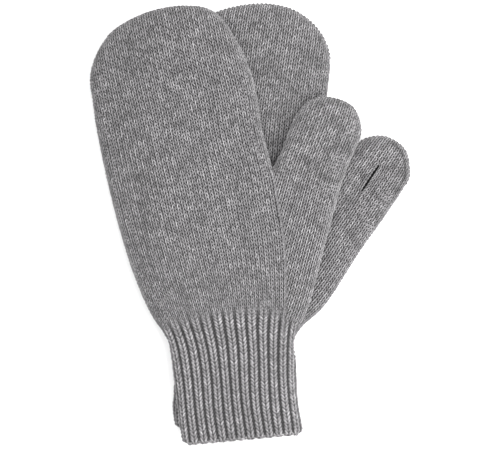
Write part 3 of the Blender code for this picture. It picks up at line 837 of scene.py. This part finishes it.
def rope(name, path, radius, pitch, material, sides=10):
    """A tube of two-ply yarn along a path, in millimetres, with rounded ends."""
    length = curve_length(path)
    count = max(8, round(length / 0.28))
    path = at_shares(path, np.linspace(0.0, 1.0, count))
    normals, binormals = frames_along(path)
    along = np.linspace(0.0, length, count)[:, None]
    around = np.linspace(0.0, 2 * math.pi, sides, endpoint=False)[None, :]
    ply = 0.5 + 0.5 * np.cos(2 * around - 2 * math.pi * along / pitch)
    from_end = np.minimum(along, length - along) / radius
    end = np.sqrt(np.clip(1 - (1 - from_end).clip(0, 1) ** 2, 0.02, 1))
    reach = radius * (0.76 + 0.24 * ply) * end
    ring = (normals[:, None, :] * np.cos(around)[..., None]
            + binormals[:, None, :] * np.sin(around)[..., None])
    verts = path[:, None, :] + ring * reach[..., None]
    index = np.arange(count * sides).reshape(count, sides)
    after = np.roll(index, -1, axis=1)
    quads = np.stack([index[:-1], after[:-1], after[1:], index[1:]], axis=-1).reshape(-1, 4)
    faces = quads.tolist() + [index[0, ::-1].tolist(), index[-1].tolist()]
    obj = new_mesh_object(name, verts.reshape(-1, 3), faces, material)
    tone = scatter(np.floor(along / pitch) + 0 * around, 7.0 * len(name))
    set_layer(obj.data, "tone", tone.ravel())
    # painted shade between the plies: the height darkens the colour where they part
    set_layer(obj.data, "height", (0.35 + 0.55 * ply).ravel())
    rope_map(obj.data, count, sides, around)
    return obj


def rope_map(mesh, count, sides, around):
    """A map with the tube unrolled, and its two ends in a corner."""
    u = np.arange(sides)[None, :] / sides + np.zeros((count - 1, 1))
    v = np.arange(count - 1)[:, None] / count + np.zeros((1, sides))
    corners = [(u, v), (u + 1 / sides, v), (u + 1 / sides, v + 1 / count), (u, v + 1 / count)]
    spots = np.stack([np.stack(pair, axis=-1) for pair in corners], axis=2).reshape(-1, 2)
    ends = np.stack([np.cos(around[0]), np.sin(around[0])], axis=-1) * 0.002 + 0.995
    set_map(mesh, np.vstack([0.01 + 0.97 * spots, ends, ends]))


def sideways(curve, inner_point):
    """Unit vectors across a curve, away from a point."""
    tangent = np.gradient(curve, axis=0)
    normal = np.column_stack([-tangent[:, 1], tangent[:, 0]])
    normal /= np.linalg.norm(normal, axis=1)[:, None]
    return normal * np.sign(np.sum(normal * (curve - inner_point), axis=1))[:, None]


def tip_path(mitten, edge, ends, centre, tooth):
    """The linking yarn's way over and over the edge of a tip."""
    run = stretch(edge, np.array(ends[0], float), np.array(ends[1], float))
    length = curve_length(run)
    run = at_shares(run, np.linspace(0.0, 1.0, round(length / 0.25)))
    turn = np.linspace(0.0, length, len(run)) / TOOTH * 2 * math.pi
    run = run + sideways(run, centre) * (tooth * np.cos(turn) + 0.05)[:, None]
    level = ground(run[:, 0], mitten["stack"]) + THICKNESS / 2
    return np.column_stack([run, level + 0.75 * np.sin(turn)])


def hem_path(mitten, sides):
    """The cast-off chain's way round the mouth of the cuff, in step with its ribs."""
    rings = []
    row = at_shares(sides[2], grid_shares(400))
    line = np.repeat(row[None], COARSE + 1, axis=0)
    crown = crown_shape(line, mitten)
    relief, _tone, _height, stitch = fabric_fields(wrapped(line, crown), "cuff", mitten)
    plan = scalloped(line, crown, stitch[0], np.zeros_like(relief))
    for side in (1, -1):
        points = lay_out(plan, crown, relief / 2 - CUFF_WALL / 2, mitten, side)[0]
        points[:, 1] -= 0.15
        rings.append(points[::side])
    return np.vstack([*rings, rings[0][:6]])


def slit_path(mitten):
    """The cast-off yarn's way round the slit, stepping from stitch to stitch."""
    along, across = thumb_axes(mitten)
    side = 1 if mitten["up"] == "palm" else -1
    run = np.linspace(-1.0, 1.0, 90)
    half = SLIT_LENGTH / 2 - 0.3
    wave = 0.22 * np.cos(2 * math.pi * run * half / COURSE)
    gap = (SLIT_OPEN + 0.15) * np.sqrt(1 - run ** 6) + wave
    plan = np.vstack([np.outer(run * half, along) + np.outer(gap, across),
                      np.outer(-run * half, along) - np.outer(gap[::-1], across)])
    plan = plan + np.array(mitten["slit_centre"])
    level = mitten["stack"] + THICKNESS / 2 + side * (THICKNESS / 2 - 0.75)
    return np.column_stack([plan, np.full(len(plan), level)])


def crotch_path(mitten):
    """The closing yarn: over the hand's edge above the crotch, then down the join."""
    shares = np.linspace(1.0, 0.0, 120)
    run = at_shares(mitten["hand_edge"][::-1][:40], shares)
    turn = np.linspace(0.0, curve_length(run), len(run)) / COURSE * 2 * math.pi
    out = 0.5 * np.cos(turn) - 0.2
    run = run + sideways(run, mitten["hand_edge"].mean(axis=0)) * out[:, None]
    middle = mitten["stack"] + THICKNESS / 2
    over = np.column_stack([run, middle + 0.9 * np.sin(turn)])[np.linspace(0, 1, 120) > 0.45]
    join = mitten["join_line"][::-1][:26]
    tail = at_shares(join, np.linspace(0.18, 0.75, 12)) + np.array([-0.6, 0.0])
    rise = np.clip(np.linspace(0.0, 1.6, 12), 0.0, 1.0)
    depth = 5.2 + 0.15 * np.cos(np.linspace(0, 9, 12))
    tail = np.column_stack([tail, middle + np.sin(rise * math.pi / 2) * depth])
    return np.vstack([over, smooth_curve3(tail)])


def smooth_curve3(points):
    """A smooth curve through points in space."""
    return np.column_stack([smooth_curve(points[:, (k, k)])[:, 0] for k in range(3)])


def build_trims(mitten, yarn, sections):
    """The linked tips, cast-off edges and closing stitches of one mitten."""
    name = mitten["name"]
    hand_middle = mitten["hand_edge"].mean(axis=0)
    slit_centre = np.array(mitten["slit_centre"])
    finger_tooth, thumb_tooth = mitten["teeth"]
    trims = (  # part, body, radius, length of one twist, path
        ("finger_tip_seam", "_fingers", 0.52, 2.0,
         tip_path(mitten, mitten["hand_edge"], mitten["finger_tip"], hand_middle, finger_tooth)),
        ("thumb_tip_seam", "_thumb", 0.52, 2.0,
         tip_path(mitten, mitten["thumb_edge"], mitten["thumb_tip"], slit_centre, thumb_tooth)),
        ("cuff_hem", "_cuff", 1.0, 2.9, hem_path(mitten, sections["cuff"])),
        ("crotch_stitches", "_hand", 0.32, 1.9, crotch_path(mitten)),
        ("slit_edging", "_thumb", 0.36, 2.3, slit_path(mitten)),
    )
    for part, body, radius, pitch, path in trims:
        piece = rope(f"{name}_{part}_yarn", path, radius, pitch, yarn)
        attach(piece, name + body)
        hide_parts(f"{name}_{part}")


# ---- materials -------------------------------------------------------------

def add_noise(tree, scale, detail, roughness=0.5):
    """A noise texture over the object's own coordinates."""
    place = tree.nodes.new("ShaderNodeTexCoord")
    noise = tree.nodes.new("ShaderNodeTexNoise")
    noise.inputs["Scale"].default_value = scale
    noise.inputs["Detail"].default_value = detail
    noise.inputs["Roughness"].default_value = roughness
    tree.links.new(place.outputs["Object"], noise.inputs["Vector"])
    return noise.outputs["Fac"]


def add_attribute(tree, name):
    """A number stored on the mesh."""
    node = tree.nodes.new("ShaderNodeAttribute")
    node.attribute_name = name
    return node.outputs["Fac"]


def add_scaled(tree, value, factor, offset):
    """value x factor + offset; the offset is a number or another value."""
    node = tree.nodes.new("ShaderNodeMath")
    node.operation = "MULTIPLY_ADD"
    tree.links.new(value, node.inputs[0])
    node.inputs[1].default_value = factor
    if isinstance(offset, float):
        node.inputs[2].default_value = offset
    else:
        tree.links.new(offset, node.inputs[2])
    return node.outputs[0]


def add_ramp(tree, value, stops):
    """Colours at given places from 0 to 1."""
    node = tree.nodes.new("ShaderNodeValToRGB")
    elements = node.color_ramp.elements
    for element, (place, colour) in zip(elements, (stops[0], stops[-1])):
        element.position = place
        element.color = (*colour, 1)
    for place, colour in stops[1:-1]:
        elements.new(place).color = (*colour, 1)
    tree.links.new(value, node.inputs["Fac"])
    return node.outputs["Color"]


def wool_material(name):
    """Melange wool: flecks of light and dark fibre, with painted shade deep between stitches."""
    material = bpy.data.materials.new(name)
    material.use_nodes = True
    tree = material.node_tree
    shader = tree.nodes["Principled BSDF"]
    shader.inputs["Roughness"].default_value = 0.92
    shader.inputs["Sheen Weight"].default_value = 0.25
    shader.inputs["Sheen Roughness"].default_value = 0.6
    shader.inputs["Specular IOR Level"].default_value = 0.2
    fleck = add_noise(tree, 1500.0, 3.0, 0.6)
    cloud = add_noise(tree, 220.0, 2.0)
    shade = add_scaled(tree, add_attribute(tree, "tone"), 0.40, 0.295 - 0.675 - 0.08)
    shade = add_scaled(tree, fleck, 1.35, shade)
    shade = add_scaled(tree, cloud, 0.16, shade)
    fibre = add_ramp(tree, shade, ((0.0, DARK_FIBRE), (0.5, MIDDLE_FIBRE), (1.0, LIGHT_FIBRE)))
    # painted shade: the stored stitch height darkens the colour towards the crevices, where shade
    # falls
    height = add_attribute(tree, "height")
    crevice_shade = add_ramp(tree, height, ((CREVICE_SHADE_START, PAINTED_CREVICE_SHADE), (1.0, (1, 1, 1))))
    mix = tree.nodes.new("ShaderNodeMix")
    mix.data_type = "RGBA"
    mix.blend_type = "MULTIPLY"
    mix.inputs["Factor"].default_value = 1.0
    tree.links.new(fibre, mix.inputs["A"])
    tree.links.new(crevice_shade, mix.inputs["B"])
    tree.links.new(mix.outputs["Result"], shader.inputs["Base Color"])
    bump = tree.nodes.new("ShaderNodeBump")
    bump.inputs["Strength"].default_value = 0.5
    bump.inputs["Distance"].default_value = 0.0003
    tree.links.new(fleck, bump.inputs["Height"])
    tree.links.new(bump.outputs["Normal"], shader.inputs["Normal"])
    return material


# ---- building --------------------------------------------------------------

def fold(section, mitten):
    """A section's body, a point and a direction of its fold line, and a reach."""
    if section == "finger":
        return "_fingers", (0.0, KNUCKLE[0]), (-KNUCKLE[1], 1.0), FOLD_REACH
    if section == "cuff":
        return "_cuff", (0.0, WRIST[0]), (WRIST[1], -1.0), FOLD_REACH
    return "_thumb", mitten["thumb"][0], thumb_axes(mitten)[0], THUMB_REACH


def bend(piece, section, mitten):
    """Ride a hand or gusset piece on the hand's body; any other piece only has its placing baked into
    its points.
    """
    hand = mitten["name"] + "_hand"
    if section in ("hand", "gusset"):
        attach(piece, hand)
        return
    body, start, way, reach = fold(section, mitten)
    start = np.array(start, float)
    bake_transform(piece)


def build_mitten(mitten, wool, yarn):
    """All the fabric of one mitten."""
    mitten["hand_edge"] = smooth_curve(mitten["hand"])
    mitten["thumb_edge"] = smooth_curve(mitten["thumb"])
    mitten["join_line"] = smooth_curve(mitten["join"])
    mitten["edges"] = [mitten["hand_edge"], mitten["thumb_edge"]]
    sections = mitten_sides(mitten)
    build_trims(mitten, yarn, sections)
    for section, sides in sections.items():
        for side, face in ((1, mitten["up"]), (-1, mitten["down"])):
            node = f"{mitten['name']}_{section}_{face}"
            step = STEP if side > 0 else HIDDEN_STEP
            piece = fabric_panel(node + "_knit", section, sides, mitten, side, step, wool)
            bend(piece, section, mitten)
            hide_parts(node)


def make_floor():
    """A pale table top under the pair."""
    material = bpy.data.materials.new("pale_table")
    material.use_nodes = True
    shader = material.node_tree.nodes["Principled BSDF"]
    shader.inputs["Base Color"].default_value = (FLOOR_WHITE, FLOOR_WHITE, FLOOR_WHITE, 1)
    shader.inputs["Roughness"].default_value = 0.8
    verts = [(x * FLOOR_SIZE, y * FLOOR_SIZE, FLOOR_LEVEL)
             for x, y in ((-1, -1), (1, -1), (1, 1), (-1, 1))]
    new_mesh_object("table_top", verts, [(0, 1, 2, 3)], material)


def make_camera():
    """A camera straight above, so far away that the view is nearly parallel."""
    data = bpy.data.cameras.new("camera")
    data.sensor_width = SENSOR
    data.lens = SENSOR * (CAMERA_HEIGHT - VIEW_LEVEL) / VIEW_WIDTH
    camera = bpy.data.objects.new("camera", data)
    camera.location = (0.0, 0.0, CAMERA_HEIGHT)
    bpy.context.scene.collection.objects.link(camera)
    bpy.context.scene.camera = camera


def make_lights():
    """Soft studio light: a panel from the right, one overhead and a white surround."""
    world = bpy.data.worlds.new("studio")
    world.use_nodes = True
    world.node_tree.nodes["Background"].inputs["Color"].default_value = (1, 1, 1, 1)
    world.node_tree.nodes["Background"].inputs["Strength"].default_value = SURROUND
    bpy.context.scene.world = world
    for name, place, power, size in LAMPS:
        data = bpy.data.lights.new(name, "AREA")
        data.energy = power
        data.size = size
        lamp = bpy.data.objects.new(name, data)
        lamp.location = place
        lamp.rotation_euler = Vector(place).to_track_quat("Z", "Y").to_euler()
        bpy.context.scene.collection.objects.link(lamp)


def main():
    """Build both mittens, the floor, the camera and the lights."""
    bpy.context.scene.view_settings.view_transform = "Standard"
    wool = wool_material("grey_melange_wool")
    yarn = wool_material("grey_linking_yarn")
    for mitten in MITTENS:
        build_mitten(mitten, wool, yarn)
    make_floor()
    make_camera()
    make_lights()


main()
